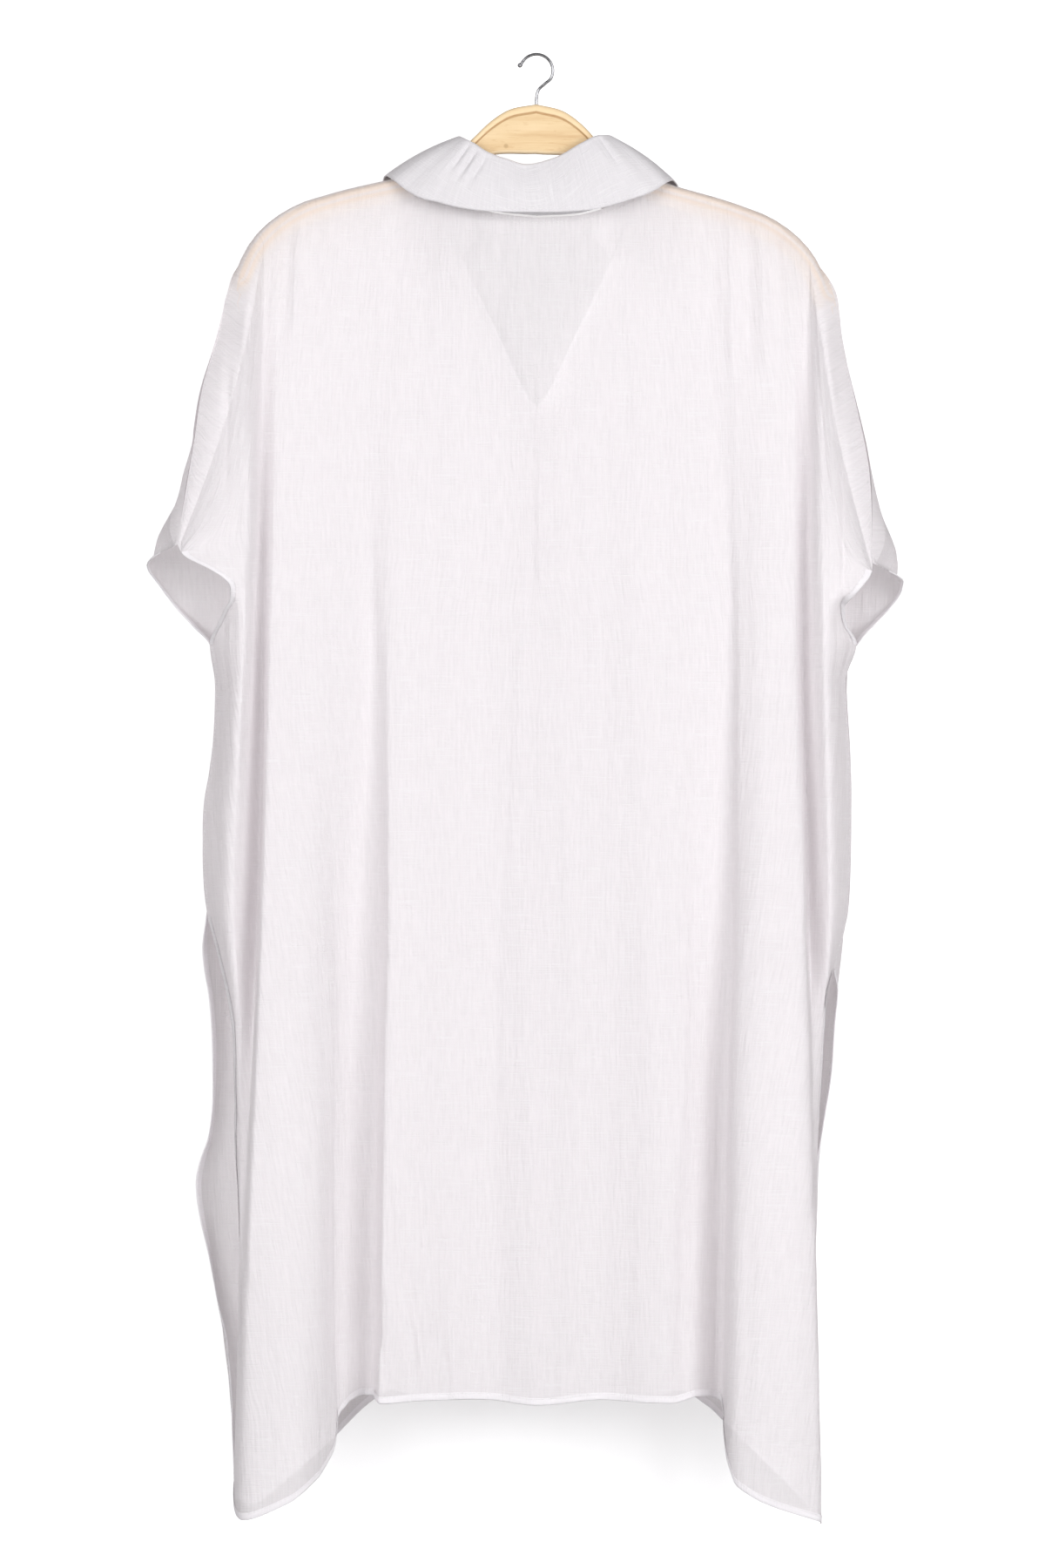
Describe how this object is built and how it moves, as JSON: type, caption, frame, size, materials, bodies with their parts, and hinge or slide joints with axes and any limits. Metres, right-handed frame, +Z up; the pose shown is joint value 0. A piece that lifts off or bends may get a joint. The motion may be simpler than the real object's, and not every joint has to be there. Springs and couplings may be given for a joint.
{
  "type": "sleeveless button-up shirt",
  "caption": "Loose button-up shirt of crinkled white cloth with a turned-down collar, open sleeve ends and side slits, hanging on a wooden hanger with a wire hook.",
  "frame": {"origin": "inside the top of the hanger's hook, where the hook rests on a rail", "axes": "+Z up, +X towards the wearer's left, +Y out of the shirt's back, so the buttoned front faces -Y"},
  "size_m": [0.5665, 0.1102, 1.0981],
  "materials": {
    "cloth": "crinkled semi-sheer white cloth with slubs",
    "button": "pearly white",
    "wood": "pale, varnished",
    "steel": "polished wire"
  },
  "bodies": {
    "root": {"back": "cloth", "front_left": "cloth", "front_right": "cloth", "band_left": "cloth", "band_right": "cloth", "collar": "cloth", "button_1": "button", "button_2": "button", "button_3": "button", "button_4": "button", "button_5": "button", "button_6": "button", "button_7": "button", "button_8": "button", "hanger_plate": "wood", "hook": "steel"}
  },
  "joints": []
}
